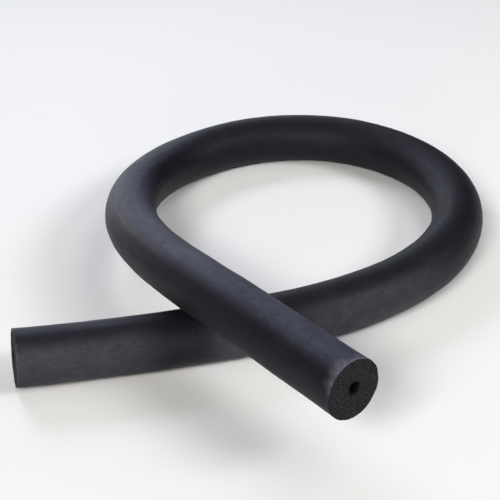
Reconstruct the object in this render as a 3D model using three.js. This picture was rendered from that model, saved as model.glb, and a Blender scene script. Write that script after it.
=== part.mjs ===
import * as THREE from 'three';

// A length of foam pipe insulation lying in one loop, with one end resting across the other.
// Millimetres, +Z up, floor at z = 0. The tube is followed from the end that lies on the floor.

// The foam tube
const BORE_DIAMETER = 13;
const WALL_THICKNESS = 25;
const OUTER_DIAMETER = BORE_DIAMETER + 2 * WALL_THICKNESS;
const TUBE_LENGTH = 1830;

// The floor end, where it starts in plan. It points away along +X.
const START_X = -289.6;
const START_Y = -146.9;

// Stretches of the route in plan, by length along the middle of the tube
const TAIL_STRETCH = 221;
const TIGHTENING_STRETCH = 338;
const LOOP_STRETCH = 556;
const OPENING_STRETCH = 597;

// How tightly each stretch bends
const TAIL_RADIUS = 1775;
const FIRST_LOOP_RADIUS = 214.5;
const LAST_LOOP_RADIUS = 194.5;

// The climb from the floor, which clears the tail by half a millimetre where it crosses
const CLIMB_START = 1084;
const CLIMB_END = 1677;
const CLIMB_HEIGHT = 67.9;

// Facets
const OUTER_SIDES = 28;
const BORE_SIDES = 12;
const STEPS_ALONG = 84;
const ROUTE_SAMPLES = 1220;

const FOAM_COLOUR = 0x2b2b30;

// Bend per millimetre at a distance along the tube: even on the tail, growing into the loop,
// nearly even round the loop, and fading to nothing before the straight upper end.
function bendAt(distance) {
  const tailBend = 1 / TAIL_RADIUS;
  const firstBend = 1 / FIRST_LOOP_RADIUS;
  const lastBend = 1 / LAST_LOOP_RADIUS;
  let rest = distance - TAIL_STRETCH;
  if (rest < 0) return tailBend;
  if (rest < TIGHTENING_STRETCH) {
    return THREE.MathUtils.lerp(tailBend, firstBend, rest / TIGHTENING_STRETCH);
  }
  rest -= TIGHTENING_STRETCH;
  if (rest < LOOP_STRETCH) {
    return THREE.MathUtils.lerp(firstBend, lastBend, rest / LOOP_STRETCH);
  }
  rest -= LOOP_STRETCH;
  return lastBend * Math.max(0, 1 - rest / OPENING_STRETCH);
}

// Height of the middle of the tube: on the floor, then up to lie on top of the tail
function heightAt(distance) {
  const climbed = THREE.MathUtils.smoothstep(distance, CLIMB_START, CLIMB_END);
  return OUTER_DIAMETER / 2 + CLIMB_HEIGHT * climbed;
}

// The middle line of the tube, stepped along its length
function tubeRoute() {
  const points = [];
  const stride = TUBE_LENGTH / ROUTE_SAMPLES;
  let x = START_X;
  let y = START_Y;
  let heading = 0;
  points.push(new THREE.Vector3(x, y, heightAt(0)));
  for (let i = 0; i < ROUTE_SAMPLES; i += 1) {
    const midway = (i + 0.5) * stride;
    const turn = bendAt(midway) * stride;
    x += stride * Math.cos(heading + turn / 2);
    y += stride * Math.sin(heading + turn / 2);
    heading += turn;
    points.push(new THREE.Vector3(x, y, heightAt((i + 1) * stride)));
  }
  return new THREE.CatmullRomCurve3(points);
}

function circleOutline(diameter, sides) {
  const circle = new THREE.EllipseCurve(0, 0, diameter / 2, diameter / 2);
  return circle.getPoints(sides);
}

// The wall of the tube seen end on: a round outline with the bore as its hole
function tubeSection() {
  const section = new THREE.Shape(circleOutline(OUTER_DIAMETER, OUTER_SIDES));
  section.holes.push(new THREE.Path(circleOutline(BORE_DIAMETER, BORE_SIDES)));
  return section;
}

function foamTube() {
  const geometry = new THREE.ExtrudeGeometry(tubeSection(), {
    steps: STEPS_ALONG,
    bevelEnabled: false,
    extrudePath: tubeRoute(),
  });
  const foam = new THREE.MeshStandardMaterial({ color: FOAM_COLOUR, roughness: 0.62, metalness: 0 });
  const tube = new THREE.Mesh(geometry, foam);
  tube.name = 'foam_tube';
  return tube;
}

const group = new THREE.Group();
group.add(foamTube());

export default group;
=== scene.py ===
import math

import bmesh
import bpy
from mathutils import Matrix, Vector, noise


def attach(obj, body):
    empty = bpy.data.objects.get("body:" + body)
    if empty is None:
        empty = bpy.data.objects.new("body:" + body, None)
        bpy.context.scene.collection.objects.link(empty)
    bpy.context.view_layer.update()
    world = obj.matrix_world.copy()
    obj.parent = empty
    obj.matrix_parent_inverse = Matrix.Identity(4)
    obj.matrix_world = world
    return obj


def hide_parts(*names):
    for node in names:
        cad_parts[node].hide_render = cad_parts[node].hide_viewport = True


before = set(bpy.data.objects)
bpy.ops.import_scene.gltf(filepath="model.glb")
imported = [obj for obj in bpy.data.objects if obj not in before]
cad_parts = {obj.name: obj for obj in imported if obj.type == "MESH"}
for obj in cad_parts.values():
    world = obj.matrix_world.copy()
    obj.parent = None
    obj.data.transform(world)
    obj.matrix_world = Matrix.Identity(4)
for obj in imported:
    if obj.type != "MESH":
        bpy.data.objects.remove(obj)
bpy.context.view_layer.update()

MM = 0.001

# The foam tube, in millimetres
BORE_DIAMETER = 13
WALL_THICKNESS = 25
OUTER_DIAMETER = BORE_DIAMETER + 2 * WALL_THICKNESS
TUBE_LENGTH = 1830

# The route of its middle line, the same as the solid's
START_X = -289.6
START_Y = -146.9
TAIL_STRETCH = 221
TIGHTENING_STRETCH = 338
LOOP_STRETCH = 556
OPENING_STRETCH = 597
TAIL_RADIUS = 1775
FIRST_LOOP_RADIUS = 214.5
LAST_LOOP_RADIUS = 194.5
CLIMB_START = 1084
CLIMB_END = 1677
CLIMB_HEIGHT = 67.9
ROUTE_SAMPLES = 1830

# Where the two stretches meet at the crossing, as heights above the floor
LOWER_STRETCH_TOP = OUTER_DIAMETER + 0.2
UPPER_STRETCH_UNDERSIDE = OUTER_DIAMETER + 0.3

# How finely the skin, the bore and the cut faces are divided, finer towards the cut ends
SIDES = 144
SKIN_RINGS = 400
BORE_RINGS = 80
MOUTH_LENGTH = 30
MOUTH_RINGS = 10
LIP_LENGTH = 7
LIP_RINGS = 8
FACE_RINGS = 24
EDGE_ROUNDING = 0.6
EDGE_SEGMENTS = 3
SKIN_SHARE_OF_EDGE = 0.6

# Points nearer to each other than this, in their mesh's own unit, are made one
MERGE_DISTANCE = 0.001

# The small unevenness of the foam, in millimetres
WAVE_HEIGHT = 0.35
LUMP_HEIGHT = 0.12
DIE_LINE_HEIGHT = 0.06
CREASE_HEIGHT = 0.16
LIP_FLARE = 0.45
RAGGED_BORE = 1.6
BORE_CLOSING = 0.3
BORE_SHIFT = Vector((0.5, 2.2, 0))
FACE_RIPPLE_DEPTH = 0.2
KNIFE_MARK_DEPTH = 0.3
CELL_DEPTH = 0.25

# How far into the foam the unevenness of the skin, of the bore and of the cut faces reaches
SKIN_REACH = 2
BORE_REACH = 4
FACE_REACH = 2

# The patterns of the unevenness: how many millimetres a feature is across the tube and along it, and a
# seed that sets the patterns apart
UNEVENNESS = {
    "waves": (24, 60, 0),
    "lumps": (9, 14, 5),
    "die_lines": (3, 160, 9),
    "creases": (18, 5, 13),
    "lips": (11, 30, 17),
    "face_ripple": (14, 400, 21),
    "knife_marks": (2.6, 1, 25),
    "cells": (1.1, 400, 29),
    "bore": (3.4, 8, 33),
    "rub_and_highlight_reach": (8, 90, 37),
    "rub_and_highlight_streaks": (4, 6, 41),
    "painted_light": (30, 90, 45),
}
NOISE_GAIN = 1.6

# The direction across the knife's marks, as left and up, and how many times as long as wide they are
ACROSS_KNIFE_MARKS = (0.94, 0.34)
KNIFE_MARK_STRETCH = 9

# Neither end is cut quite square: how far it stands out in its middle, and more to the left and upwards
RAISED_END_CUT = (1.0, 0.2, -1.5)
FLOOR_END_CUT = (0.4, 4.4, -3.0)

# Where each cut end's rim is rubbed pale, partly wear and partly a painted highlight, as left and up
# across the tube, how far the rub reaches, and how strong it is
RAISED_END_RUB_AND_HIGHLIGHT = (-0.15, 0.99, 14, 0.85)
FLOOR_END_RUB_AND_HIGHLIGHT = (-0.8, 0.6, 4, 0.35)
SHORTEST_RUB_AND_HIGHLIGHT = 1.0

# Patches of painted light: painted highlights on the last bend of the loop and along the raised
# stretch, and a painted glow on the near flank of the stretches from the floor end, where the gap
# between its two patches leaves a painted shadow of the raised stretch. The distances where each
# starts, is full, starts to fade and is gone, the side of the tube that it lies on, as left and up,
# and its strength. Over one stretch the painted light turns bluer
PAINTED_LIGHT_PATCHES = [
    (1050, 1250, 1330, 1440, -0.4, 0.92, 0.95),
    (1230, 1390, 1700, 2600, 0.33, 0.94, 1.0),
    (-90, -60, 122, 168, -0.98, 0.2, 0.72),
    (190, 235, 400, 540, -1.0, 0.0, 0.86),
]
PAINTED_LIGHT_BLUER_FROM = 556
PAINTED_LIGHT_BLUER_TO = 1084

# How squarely the skin faces a side where creases, rubs with their painted highlight, and painted light
# start there, and where they are full
CREASE_SIDE = (0.1, 0.9)
RUB_AND_HIGHLIGHT_SIDE = (0.1, 0.95)
PAINTED_LIGHT_SIDE = (0.42, 1.0)

# Sizes of the foam's patterns, in millimetres
CLOUD_SIZE = 30
MOTTLE_SIZE = 11
GRAIN_SIZE = 2.4
DIE_LINE_WIDTH = 3.5
DIE_LINE_LENGTH = 140
CELL_SIZE = 1.8
FINE_CELL_SIZE = 0.9
SKIN_THICKNESS = 0.8
SKIN_LINE_FADE = 0.48
BORE_SHADE_REACH = 3

# Heights of the patterns that are bump, in millimetres
DIE_LINE_BUMP = 0.12
GRAIN_BUMP = 0.18
CELL_BUMP = 0.4

# The colours of the skin
SLATE_DARK = "#0C0C0E"
SLATE_LIGHT = "#121216"
SPECK_GREY = "#26262C"
# Painted light: a neutral painted glow on the stretches from the floor end, and bluer painted
# highlights on the raised stretch
TAIL_PAINTED_LIGHT = "#37373D"
RAISED_PAINTED_LIGHT = "#393A49"
# The pale rub on the rims, partly wear and partly a painted highlight
RUB_AND_HIGHLIGHT_GREY = "#6B6B75"
SKIN_SHEEN = "#E3E3FF"

# The colours of the cut foam
CELL_SHADOW = "#08080A"
CELL_WALL = "#27272B"
DENSE_SKIN = "#101012"
# Painted shade that blackens the bore and a ring round its mouth
BORE_PAINTED_SHADE = "#030303"

# The floor and the pale sweep round it, in metres: the sweep's outline is in radius and height, and
# it is clear up to one radius and full from the other
FLOOR_PAINT = "#F4F4F5"
FLOOR_HALF_WIDTH = 30
SWEEP_GLOW = "#EFEFF1"
SWEEP_OUTLINE = [(1.05, 0.001), (9.0, 0.001), (10.2, 0.25), (11.0, 1.0), (11.2, 2.0), (11.2, 9.0)]
SWEEP_CLEAR = 1.1
SWEEP_FULL = 2.1

# The upright soft panels: azimuth in degrees, then distance, heights of the two edges and width in
# metres, then glow and colour
UPRIGHT_LIGHTS = {
    "high_front_light": (210, 3.4, (2.0, 3.4), 1.75, 19.3, "#FFFCF6"),
    "low_front_light": (192, 3.4, (0.05, 0.9), 1.75, 8.4, "#FFFAF4"),
    "high_right_light": (120, 3.4, (2.0, 3.4), 1.75, 12.9, "#FFFFFF"),
    "back_light": (0, 3.4, (0.05, 3.4), 1.75, 1.6, "#E8EEFF"),
    "low_back_light": (330, 3.4, (0.05, 0.9), 1.75, 3.9, "#FFFFFF"),
    "near_back_light": (330, 1.6, (0.95, 1.6), 0.8, 8.9, "#E8EFFF"),
}

# The panel overhead, which faces down
OVERHEAD_PLACE = Vector((0.8, 0, 1.7))
OVERHEAD_SIZE = (0.8, 2.4)
OVERHEAD_GLOW = 1.2
OVERHEAD_COLOUR = "#FFFEF6"

# The faint even light from all round
WORLD_COLOUR = "#FFFFFF"
WORLD_GLOW = 0.02

# The camera: its place in metres, its directions, and its lens in pixels of the photograph and in
# millimetres
CAMERA_PLACE = Vector((-154.1, -1254.7, 817.2)) * MM
CAMERA_AHEAD = Vector((0.0924, 0.8498, -0.5190))
CAMERA_RIGHT = Vector((0.9921, -0.1232, -0.0251))
FOCAL_PIXELS = 1256.7
FRAME_PIXELS = 500
SENSOR_WIDTH = 36
VIEW_REACH = 100


def linear(hex_colour):
    """An sRGB hex colour as linear red, green, blue and alpha."""
    channels = []
    for place in (1, 3, 5):
        value = int(hex_colour[place:place + 2], 16) / 255
        low = value / 12.92
        high = ((value + 0.055) / 1.055) ** 2.4
        channels.append(low if value <= 0.04045 else high)
    return (*channels, 1.0)


def mix(low, high, share):
    return low + (high - low) * share


def clamped(value, low=0.0, high=1.0):
    return min(high, max(low, value))


def smooth_step(value, low, high):
    share = clamped((value - low) / (high - low))
    return share * share * (3 - 2 * share)


# The route

def bend_at(distance):
    """Bend per millimetre, at a distance along the tube from its floor end."""
    tail_bend = 1 / TAIL_RADIUS
    first_bend = 1 / FIRST_LOOP_RADIUS
    last_bend = 1 / LAST_LOOP_RADIUS
    rest = distance - TAIL_STRETCH
    if rest < 0:
        return tail_bend
    if rest < TIGHTENING_STRETCH:
        return mix(tail_bend, first_bend, rest / TIGHTENING_STRETCH)
    rest -= TIGHTENING_STRETCH
    if rest < LOOP_STRETCH:
        return mix(first_bend, last_bend, rest / LOOP_STRETCH)
    rest -= LOOP_STRETCH
    return last_bend * max(0.0, 1 - rest / OPENING_STRETCH)


def height_at(distance):
    return OUTER_DIAMETER / 2 + CLIMB_HEIGHT * smooth_step(distance, CLIMB_START, CLIMB_END)


def route_points():
    """The tube's middle line, stepped along its length, in millimetres."""
    stride = TUBE_LENGTH / ROUTE_SAMPLES
    x, y, heading = START_X, START_Y, 0.0
    points = [Vector((x, y, height_at(0)))]
    for i in range(ROUTE_SAMPLES):
        turn = bend_at((i + 0.5) * stride) * stride
        x += stride * math.cos(heading + turn / 2)
        y += stride * math.sin(heading + turn / 2)
        heading += turn
        points.append(Vector((x, y, height_at((i + 1) * stride))))
    return points


def route_frames(points):
    """For each point of the route: the point, then left, up and along the tube."""
    frames = []
    last = len(points) - 1
    for i, point in enumerate(points):
        along = (points[min(i + 1, last)] - points[max(i - 1, 0)]).normalized()
        left = Vector((0, 0, 1)).cross(along).normalized()
        frames.append((point, left, along.cross(left), along))
    return frames


def bend_to_route(frames, straight):
    """Where a point of the straight tube lies once the tube is bent, in metres."""
    place = straight.z / TUBE_LENGTH * ROUTE_SAMPLES
    i = clamped(int(place), 0, ROUTE_SAMPLES - 1)
    share = clamped(place - i)
    point, left, up = (frames[i][k].lerp(frames[i + 1][k], share) for k in range(3))
    past = straight.z - clamped(straight.z, 0.0, TUBE_LENGTH)
    return (point + left * straight.x + up * straight.y + frames[i][3] * past) * MM


# The tube

def rings_along(length, on_skin):
    """How many rings divide a stretch of the skin or of the bore, which is that long."""
    if length > TUBE_LENGTH / 2:
        return SKIN_RINGS if on_skin else BORE_RINGS
    return MOUTH_RINGS if length > LIP_LENGTH else LIP_RINGS


def wall_outline(bm):
    """The wall of the straight tube cut lengthwise: a long slim outline beside the axis."""
    bore = BORE_DIAMETER / 2
    skin = OUTER_DIAMETER / 2
    stops = [0, LIP_LENGTH, MOUTH_LENGTH]
    stops += [TUBE_LENGTH - stop for stop in reversed(stops)]
    corners = [(skin, stop) for stop in stops] + [(bore, stop) for stop in reversed(stops)]
    verts = [bm.verts.new((radius, 0, length)) for radius, length in corners]
    bm.faces.new(verts)
    rims = [verts[0], verts[len(stops) - 1]]
    bmesh.ops.bevel(bm, geom=rims, offset=EDGE_ROUNDING, offset_type="OFFSET",
                    segments=EDGE_SEGMENTS, profile=0.5, affect="VERTICES", material=-1)
    bmesh.ops.delete(bm, geom=list(bm.faces), context="FACES_ONLY")
    for edge in list(bm.edges):
        start, end = (vert.co for vert in edge.verts)
        if abs(start.x - end.x) > EDGE_ROUNDING:
            bmesh.ops.subdivide_edges(bm, edges=[edge], cuts=FACE_RINGS)
        elif abs(start.z - end.z) > EDGE_ROUNDING:
            cuts = rings_along(abs(start.z - end.z), start.x > bore)
            bmesh.ops.subdivide_edges(bm, edges=[edge], cuts=cuts)


def spin_round(bm):
    """Spins all that is drawn so far once round the upright axis, and closes the seam."""
    bmesh.ops.spin(bm, geom=list(bm.verts) + list(bm.edges), cent=(0, 0, 0), axis=(0, 0, 1),
                   angle=math.tau, steps=SIDES, use_merge=True)
    bmesh.ops.remove_doubles(bm, verts=list(bm.verts), dist=MERGE_DISTANCE)


def straight_tube():
    bm = bmesh.new()
    wall_outline(bm)
    spin_round(bm)
    bmesh.ops.recalc_face_normals(bm, faces=list(bm.faces))
    return bm


def from_cut_end(straight):
    """Distance of a point from the nearer cut end of the straight tube."""
    return min(straight.z, TUBE_LENGTH - straight.z)


def at_raised_end(straight):
    return straight.z > TUBE_LENGTH / 2


def facing(straight, radius, left, up):
    """How squarely the skin faces a side, which is given as left and up: 1 is squarely, -1 is away."""
    return (straight.x * left + straight.y * up) / radius


def uneven(straight, pattern):
    """Smooth noise between about -1 and 1, in one of the patterns of unevenness."""
    across, along, seed = UNEVENNESS[pattern]
    place = Vector((straight.x / across + seed, straight.y / across, straight.z / along + seed))
    return NOISE_GAIN * noise.noise(place)


def varied(straight, pattern, middle, swing):
    """A value that swings round its middle in one of the patterns of unevenness."""
    return middle + swing * uneven(straight, pattern)


def skin_height(straight, radius, depth):
    """How far the skin stands out: slow waves, small lumps, lines from the die, creases in the bends
    and lips that flare at the cut ends."""
    height = WAVE_HEIGHT * uneven(straight, "waves")
    height += LUMP_HEIGHT * uneven(straight, "lumps")
    height += DIE_LINE_HEIGHT * uneven(straight, "die_lines")
    on_inner_side = smooth_step(facing(straight, radius, 1, 0), *CREASE_SIDE)
    bend = bend_at(straight.z) * LAST_LOOP_RADIUS
    height += CREASE_HEIGHT * on_inner_side * bend * uneven(straight, "creases")
    flare = 1 - smooth_step(depth, 0, LIP_LENGTH)
    return height + LIP_FLARE * flare * varied(straight, "lips", middle=0.6, swing=0.9)


def cut_lean(straight):
    """How far out the cut lies at this point of the section, in place of a square cut."""
    middle, left, up = RAISED_END_CUT if at_raised_end(straight) else FLOOR_END_CUT
    return middle + (left * straight.x + up * straight.y) / (OUTER_DIAMETER / 2)


def face_depth(straight):
    """How far the cut face lies back from a true plane: a slow ripple, knife marks and open cells."""
    ripple = FACE_RIPPLE_DEPTH * (1 + uneven(straight, "face_ripple"))
    left, up = ACROSS_KNIFE_MARKS
    across = straight.x * left + straight.y * up
    along = straight.y * left - straight.x * up
    on_marks = Vector((across, along / KNIFE_MARK_STRETCH, 0))
    marks = KNIFE_MARK_DEPTH * max(0.0, uneven(on_marks, "knife_marks"))
    cells = CELL_DEPTH * max(0.0, uneven(straight, "cells"))
    return ripple + marks + cells


def relief(straight):
    """The straight tube's point moved by the foam's unevenness, the bore's shift and the cuts' lean."""
    radius = math.hypot(straight.x, straight.y)
    outward = Vector((straight.x / radius, straight.y / radius, 0))
    depth = from_cut_end(straight)
    skin_share = smooth_step(radius, OUTER_DIAMETER / 2 - SKIN_REACH, OUTER_DIAMETER / 2)
    bore_share = 1 - smooth_step(radius, BORE_DIAMETER / 2, BORE_DIAMETER / 2 + BORE_REACH)
    mouth_share = 1 - smooth_step(depth, FACE_REACH, MOUTH_LENGTH)
    moved = straight + outward * skin_share * skin_height(straight, radius, depth)
    ragged = RAGGED_BORE * uneven(straight, "bore") - BORE_CLOSING
    moved += (outward * ragged + BORE_SHIFT) * bore_share * mouth_share
    face_share = 1 - smooth_step(depth, 0, FACE_REACH)
    end_share = 1 - smooth_step(depth, 0, MOUTH_LENGTH)
    inwards = -1 if at_raised_end(straight) else 1
    moved.z += inwards * (face_share * face_depth(straight) - end_share * cut_lean(straight))
    return moved


def rest_flat(bent, straight):
    """A bent point, in metres, pressed flat on the floor, and where one stretch lies on the other."""
    bent.z = max(0.0, bent.z)
    if straight.z < TAIL_STRETCH + TIGHTENING_STRETCH:
        bent.z = min(bent.z, LOWER_STRETCH_TOP * MM)
    if straight.z > CLIMB_END:
        bent.z = max(bent.z, UPPER_STRETCH_UNDERSIDE * MM)
    return bent


def rub_and_highlight_share(straight, radius):
    """How far the skin is rubbed pale, partly wear and partly a painted highlight, from 0 to 1: a soft
    ragged patch on one side of a cut rim.
    """
    left, up, reach, strength = RAISED_END_RUB_AND_HIGHLIGHT if at_raised_end(straight) else FLOOR_END_RUB_AND_HIGHLIGHT
    side = smooth_step(facing(straight, radius, left, up), *RUB_AND_HIGHLIGHT_SIDE)
    reach *= varied(straight, "rub_and_highlight_reach", middle=0.8, swing=0.5)
    fading = 1 - smooth_step(from_cut_end(straight), 0, max(SHORTEST_RUB_AND_HIGHLIGHT, reach))
    return clamped(strength * side * fading * varied(straight, "rub_and_highlight_streaks", middle=0.8, swing=0.35))


def painted_light_share(straight, radius):
    """How much painted light the skin has, from 0 to 1: painted highlights and glow, with a painted
    shadow where the patches leave a gap.
    """
    share = 0.0
    for start, full, fading, gone, left, up, strength in PAINTED_LIGHT_PATCHES:
        along = smooth_step(straight.z, start, full) - smooth_step(straight.z, fading, gone)
        side = smooth_step(facing(straight, radius, left, up), *PAINTED_LIGHT_SIDE)
        share = max(share, strength * along * side)
    return share * varied(straight, "painted_light", middle=0.85, swing=0.2)


def foam_tube(skin_finish, cut_finish):
    """The whole tube as one closed mesh, with its straight shape, its rubs with their painted
    highlight, and its painted light kept as attributes.
    """
    bm = straight_tube()
    frames = route_frames(route_points())
    straight_layer = bm.verts.layers.float_vector.new("straight")
    rub_and_highlight_layer = bm.verts.layers.float.new("rub_and_highlight")
    painted_light_layer = bm.verts.layers.float.new("painted_light")
    for vert in bm.verts:
        straight = vert.co.copy()
        vert[straight_layer] = straight
        radius = math.hypot(straight.x, straight.y)
        vert[rub_and_highlight_layer] = rub_and_highlight_share(straight, radius)
        vert[painted_light_layer] = painted_light_share(straight, radius)
        vert.co = rest_flat(bend_to_route(frames, relief(straight)), straight)
    skin_from = OUTER_DIAMETER / 2 - EDGE_ROUNDING * SKIN_SHARE_OF_EDGE
    for face in bm.faces:
        face.smooth = True
        middle = sum((vert[straight_layer] for vert in face.verts), Vector()) / len(face.verts)
        face.material_index = 0 if math.hypot(middle.x, middle.y) > skin_from else 1
    mesh = bpy.data.meshes.new("foam_tube_detail")
    bm.to_mesh(mesh)
    bm.free()
    mesh.materials.append(skin_finish)
    mesh.materials.append(cut_finish)
    tube = bpy.data.objects.new("foam_tube_detail", mesh)
    bpy.context.collection.objects.link(tube)
    return tube


# Materials

def add_node(tree, kind, settings=None, links=None):
    """Adds a node. Settings are its own properties or its sockets, and links go into its sockets."""
    node = tree.nodes.new(kind)
    for name, value in (settings or {}).items():
        if isinstance(name, str) and hasattr(node, name):
            setattr(node, name, value)
        else:
            node.inputs[name].default_value = value
    for name, source in (links or {}).items():
        tree.links.new(source, node.inputs[name])
    return node


def new_material(name):
    material = bpy.data.materials.new(name)
    material.use_nodes = True
    material.node_tree.nodes.clear()
    return material, material.node_tree


def foam_skin():
    """Extruded elastomeric foam: its closed skin is slate black with a soft satin shine, slow cloudy
    patches, faint lines along the tube from the die, and pale rubbing at the cut rims, partly a painted
    highlight. Where painted light lies on it, as painted highlights and glow, it is a cloudy, grainy
    grey, bluer on the raised stretch. The grain is really half a millimetre across, and is drawn about
    five times as coarse so that it shows."""
    material, tree = new_material("extruded_foam_skin")
    straight = add_node(tree, "ShaderNodeAttribute", {"attribute_name": "straight"}).outputs["Vector"]
    rub_and_highlight = add_node(tree, "ShaderNodeAttribute", {"attribute_name": "rub_and_highlight"}).outputs["Fac"]
    painted_light = add_node(tree, "ShaderNodeAttribute", {"attribute_name": "painted_light"}).outputs["Fac"]

    # Four patterns: slow clouds, a finer mottle, the grain, and lines that run along the tube
    clouds = add_node(tree, "ShaderNodeTexNoise", {"Scale": 1 / CLOUD_SIZE, "Detail": 4.0},
                      {"Vector": straight})
    mottle = add_node(tree, "ShaderNodeTexNoise", {"Scale": 1 / MOTTLE_SIZE, "Detail": 4.0},
                      {"Vector": straight})
    grain = add_node(tree, "ShaderNodeTexNoise", {"Scale": 1 / GRAIN_SIZE, "Detail": 2.0},
                     {"Vector": straight})
    drawn_out = add_node(tree, "ShaderNodeMapping", {"Scale": (1, 1, DIE_LINE_WIDTH / DIE_LINE_LENGTH)},
                         {"Vector": straight})
    die_lines = add_node(tree, "ShaderNodeTexNoise", {"Scale": 1 / DIE_LINE_WIDTH, "Detail": 2.0},
                         {"Vector": drawn_out.outputs["Vector"]})

    # The slate black, with its clouds and paler specks
    clouded = add_node(tree, "ShaderNodeMapRange", {"From Min": 0.35, "From Max": 0.65},
                       {"Value": clouds.outputs["Fac"]})
    slate = add_node(tree, "ShaderNodeMix",
                     {"data_type": "RGBA", "A": linear(SLATE_DARK), "B": linear(SLATE_LIGHT)},
                     {"Factor": clouded.outputs["Result"]})
    specks = add_node(tree, "ShaderNodeMapRange", {"From Min": 0.5, "From Max": 0.8, "To Max": 0.35},
                      {"Value": grain.outputs["Fac"]})
    speckled = add_node(tree, "ShaderNodeMix", {"data_type": "RGBA", "B": linear(SPECK_GREY)},
                        {"Factor": specks.outputs["Result"], "A": slate.outputs["Result"]})

    # The painted light, as highlights and glow, cloudy and grainy
    light_mottle = add_node(tree, "ShaderNodeMapRange",
                    {"From Min": 0.3, "From Max": 0.7, "To Min": 0.7, "To Max": 1.3},
                    {"Value": mottle.outputs["Fac"]})
    grainy = add_node(tree, "ShaderNodeMapRange",
                      {"From Min": 0.3, "From Max": 0.7, "To Min": 0.75, "To Max": 1.25},
                      {"Value": grain.outputs["Fac"]})
    mottled_light = add_node(tree, "ShaderNodeMath", {"operation": "MULTIPLY"},
                      {0: painted_light, 1: light_mottle.outputs["Result"]})
    painted_light_amount = add_node(tree, "ShaderNodeMath", {"operation": "MULTIPLY"},
                     {0: mottled_light.outputs["Value"], 1: grainy.outputs["Result"]})
    split = add_node(tree, "ShaderNodeSeparateXYZ", links={"Vector": straight})
    raised_share = add_node(tree, "ShaderNodeMapRange",
                            {"From Min": PAINTED_LIGHT_BLUER_FROM, "From Max": PAINTED_LIGHT_BLUER_TO},
                            {"Value": split.outputs["Z"]})
    painted_light_colour = add_node(tree, "ShaderNodeMix",
                            {"data_type": "RGBA", "A": linear(TAIL_PAINTED_LIGHT), "B": linear(RAISED_PAINTED_LIGHT)},
                            {"Factor": raised_share.outputs["Result"]})
    with_painted_light = add_node(tree, "ShaderNodeMix", {"data_type": "RGBA"},
                       {"Factor": painted_light_amount.outputs["Value"], "A": speckled.outputs["Result"],
                        "B": painted_light_colour.outputs["Result"]})

    # The rubbed rims, partly wear and partly a painted highlight, scuffed more where the grain stands
    # up
    scuffs = add_node(tree, "ShaderNodeMapRange",
                      {"From Min": 0.4, "From Max": 0.65, "To Min": 0.6, "To Max": 1.0},
                      {"Value": grain.outputs["Fac"]})
    worn_and_highlighted = add_node(tree, "ShaderNodeMath", {"operation": "MULTIPLY"},
                    {0: rub_and_highlight, 1: scuffs.outputs["Result"]})
    colour = add_node(tree, "ShaderNodeMix", {"data_type": "RGBA", "B": linear(RUB_AND_HIGHLIGHT_GREY)},
                      {"Factor": worn_and_highlighted.outputs["Value"], "A": with_painted_light.outputs["Result"]})

    # The satin shine, a little rougher and smoother from line to line
    shine = add_node(tree, "ShaderNodeMapRange",
                     {"From Min": 0.3, "From Max": 0.7, "To Min": 0.53, "To Max": 0.62},
                     {"Value": die_lines.outputs["Fac"]})
    lined = add_node(tree, "ShaderNodeBump", {"Strength": 1.0, "Distance": DIE_LINE_BUMP * MM},
                     {"Height": die_lines.outputs["Fac"]})
    grained = add_node(tree, "ShaderNodeBump", {"Strength": 1.0, "Distance": GRAIN_BUMP * MM},
                       {"Height": grain.outputs["Fac"], "Normal": lined.outputs["Normal"]})
    shader = add_node(tree, "ShaderNodeBsdfPrincipled",
                      {"IOR": 1.5, "Specular IOR Level": 0.27, "Specular Tint": linear(SKIN_SHEEN)},
                      {"Base Color": colour.outputs["Result"], "Roughness": shine.outputs["Result"],
                       "Normal": grained.outputs["Normal"]})
    add_node(tree, "ShaderNodeOutputMaterial", links={"Surface": shader.outputs["BSDF"]})
    return material


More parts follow.
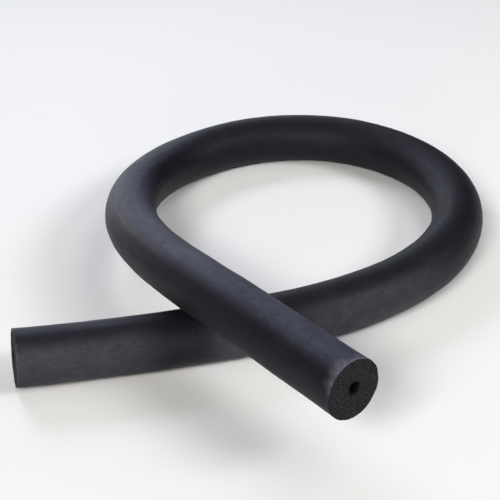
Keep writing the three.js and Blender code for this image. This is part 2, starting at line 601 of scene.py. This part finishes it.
def cut_foam():
    """The same foam where a knife went through it: open cells with painted shade in their hollows, in a
    net of lighter walls, dull and dark grey, with the denser skin as a dark line round the edge, and
    painted shade that blackens the bore and a ring round its mouth. The cells are really half a
    millimetre across, and are drawn two to four times as coarse so that they show."""
    material, tree = new_material("cut_foam_cells")
    straight = add_node(tree, "ShaderNodeAttribute", {"attribute_name": "straight"}).outputs["Vector"]

    # The cells: painted shade in the hollows, and lighter walls
    cells = add_node(tree, "ShaderNodeTexVoronoi", {"Scale": 1 / CELL_SIZE}, {"Vector": straight})
    fine_cells = add_node(tree, "ShaderNodeTexNoise", {"Scale": 1 / FINE_CELL_SIZE, "Detail": 1.0},
                          {"Vector": straight})
    walls = add_node(tree, "ShaderNodeMath", {"operation": "MULTIPLY"},
                     {0: cells.outputs["Distance"], 1: fine_cells.outputs["Fac"]})
    wall_share = add_node(tree, "ShaderNodeMapRange", {"From Min": 0.12, "From Max": 0.36},
                          {"Value": walls.outputs["Value"]})
    speckle = add_node(tree, "ShaderNodeMix",
                       {"data_type": "RGBA", "A": linear(CELL_SHADOW), "B": linear(CELL_WALL)},
                       {"Factor": wall_share.outputs["Result"]})

    # The dense skin round the edge, and painted shade in the bore and round its mouth
    flattened = add_node(tree, "ShaderNodeMapping", {"Scale": (1, 1, 0)}, {"Vector": straight})
    radius = add_node(tree, "ShaderNodeVectorMath", {"operation": "LENGTH"},
                      {"Vector": flattened.outputs["Vector"]})
    dense_from = OUTER_DIAMETER / 2 - SKIN_THICKNESS
    skin_line = add_node(tree, "ShaderNodeMapRange",
                         {"From Min": dense_from - SKIN_LINE_FADE, "From Max": dense_from},
                         {"Value": radius.outputs["Value"]})
    edged = add_node(tree, "ShaderNodeMix", {"data_type": "RGBA", "B": linear(DENSE_SKIN)},
                     {"Factor": skin_line.outputs["Result"], "A": speckle.outputs["Result"]})
    bore_edge = BORE_DIAMETER / 2
    bore_shade_share = add_node(tree, "ShaderNodeMapRange",
                         {"From Min": bore_edge + BORE_SHADE_REACH, "From Max": bore_edge},
                         {"Value": radius.outputs["Value"]})
    colour = add_node(tree, "ShaderNodeMix", {"data_type": "RGBA", "B": linear(BORE_PAINTED_SHADE)},
                      {"Factor": bore_shade_share.outputs["Result"], "A": edged.outputs["Result"]})

    # Dull and pitted
    pitted = add_node(tree, "ShaderNodeBump", {"Strength": 1.0, "Distance": CELL_BUMP * MM},
                      {"Height": walls.outputs["Value"]})
    shader = add_node(tree, "ShaderNodeBsdfPrincipled",
                      {"Roughness": 0.9, "IOR": 1.5, "Specular IOR Level": 0.15},
                      {"Base Color": colour.outputs["Result"], "Normal": pitted.outputs["Normal"]})
    add_node(tree, "ShaderNodeOutputMaterial", links={"Surface": shader.outputs["BSDF"]})
    return material


def floor_paint():
    """Plain pale emulsion paint, matt and even."""
    material, tree = new_material("pale_floor_paint")
    shader = add_node(tree, "ShaderNodeBsdfPrincipled",
                      {"Base Color": linear(FLOOR_PAINT), "Roughness": 0.9, "IOR": 1.45})
    add_node(tree, "ShaderNodeOutputMaterial", links={"Surface": shader.outputs["BSDF"]})
    return material


def sweep_glow():
    """An even pale glow that is clear in the middle of the floor and fades in further out."""
    material, tree = new_material("pale_sweep_glow")
    place = add_node(tree, "ShaderNodeTexCoord").outputs["Object"]
    flattened = add_node(tree, "ShaderNodeMapping", {"Scale": (1, 1, 0)}, {"Vector": place})
    radius = add_node(tree, "ShaderNodeVectorMath", {"operation": "LENGTH"},
                      {"Vector": flattened.outputs["Vector"]})
    glow_share = add_node(tree, "ShaderNodeMapRange",
                          {"interpolation_type": "SMOOTHSTEP", "From Min": SWEEP_CLEAR,
                           "From Max": SWEEP_FULL},
                          {"Value": radius.outputs["Value"]})
    clear = add_node(tree, "ShaderNodeBsdfTransparent")
    glow = add_node(tree, "ShaderNodeEmission", {"Color": linear(SWEEP_GLOW)})
    faded = add_node(tree, "ShaderNodeMixShader",
                     links={"Fac": glow_share.outputs["Result"], 1: clear.outputs["BSDF"],
                            2: glow.outputs["Emission"]})
    add_node(tree, "ShaderNodeOutputMaterial", links={"Surface": faded.outputs["Shader"]})
    return material


# The floor, the light and the camera

def stage_piece(name, bm, finish):
    """An object of the stage, made from a bmesh."""
    mesh = bpy.data.meshes.new(name)
    bm.to_mesh(mesh)
    bm.free()
    mesh.materials.append(finish)
    piece = bpy.data.objects.new(name, mesh)
    bpy.context.collection.objects.link(piece)
    return piece


def pale_floor():
    bm = bmesh.new()
    bmesh.ops.create_grid(bm, x_segments=1, y_segments=1, size=FLOOR_HALF_WIDTH)
    stage_piece("pale_floor", bm, floor_paint())


def pale_sweep():
    """A pale studio sweep that only the camera sees. It is clear in the middle, takes over from the lit
    floor further out, and curves up into a wall, so that the far floor doesn't fall dark."""
    bm = bmesh.new()
    outline = [bm.verts.new((radius, 0, height)) for radius, height in SWEEP_OUTLINE]
    for low, high in zip(outline, outline[1:]):
        bm.edges.new((low, high))
    spin_round(bm)
    for face in bm.faces:
        face.smooth = True
    sweep = stage_piece("pale_sweep", bm, sweep_glow())
    sweep.visible_diffuse = False
    sweep.visible_glossy = False
    sweep.visible_transmission = False
    sweep.visible_shadow = False


def panel(name, place, facing_way, size, glow, colour):
    """A soft panel of light that the camera doesn't see. Its glow is how bright its surface is."""
    lamp = bpy.data.lights.new(name, "AREA")
    lamp.shape = "RECTANGLE"
    lamp.size, lamp.size_y = size
    lamp.energy = math.pi * size[0] * size[1] * glow
    lamp.color = linear(colour)[:3]
    light = bpy.data.objects.new(name, lamp)
    turned = facing_way.to_track_quat("-Z", "Y").to_matrix().to_4x4()
    light.matrix_world = Matrix.Translation(place) @ turned
    light.visible_camera = False
    bpy.context.collection.objects.link(light)


def studio():
    """Soft upright panels that face the object's middle line, and one overhead on its right. Azimuth 0
    is behind the object and 90 to its right."""
    world = bpy.data.worlds.new("studio")
    world.use_nodes = True
    back = world.node_tree.nodes["Background"]
    back.inputs["Color"].default_value = linear(WORLD_COLOUR)
    back.inputs["Strength"].default_value = WORLD_GLOW
    bpy.context.scene.world = world
    bpy.context.scene.view_settings.view_transform = "Standard"
    for name, (azimuth, distance, heights, width, glow, colour) in UPRIGHT_LIGHTS.items():
        low, high = heights
        out = Vector((math.sin(math.radians(azimuth)), math.cos(math.radians(azimuth)), 0))
        place = out * distance + Vector((0, 0, (low + high) / 2))
        panel(name, place, -out, (width, high - low), glow, colour)
    panel("overhead_light", OVERHEAD_PLACE, Vector((0, 0, -1)), OVERHEAD_SIZE, OVERHEAD_GLOW,
          OVERHEAD_COLOUR)


def camera():
    lens = bpy.data.cameras.new("camera")
    lens.sensor_fit = "HORIZONTAL"
    lens.sensor_width = SENSOR_WIDTH
    lens.lens = SENSOR_WIDTH * FOCAL_PIXELS / FRAME_PIXELS
    lens.clip_end = VIEW_REACH
    eye = bpy.data.objects.new("camera", lens)
    ahead = CAMERA_AHEAD.normalized()
    right = (CAMERA_RIGHT - ahead * CAMERA_RIGHT.dot(ahead)).normalized()
    up = right.cross(ahead)
    turned = Matrix((right, up, -ahead)).transposed().to_4x4()
    eye.matrix_world = Matrix.Translation(CAMERA_PLACE) @ turned
    bpy.context.collection.objects.link(eye)
    bpy.context.scene.camera = eye


camera()
pale_floor()
pale_sweep()
studio()

tube = foam_tube(foam_skin(), cut_foam())
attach(tube, "root")
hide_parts("foam_tube")
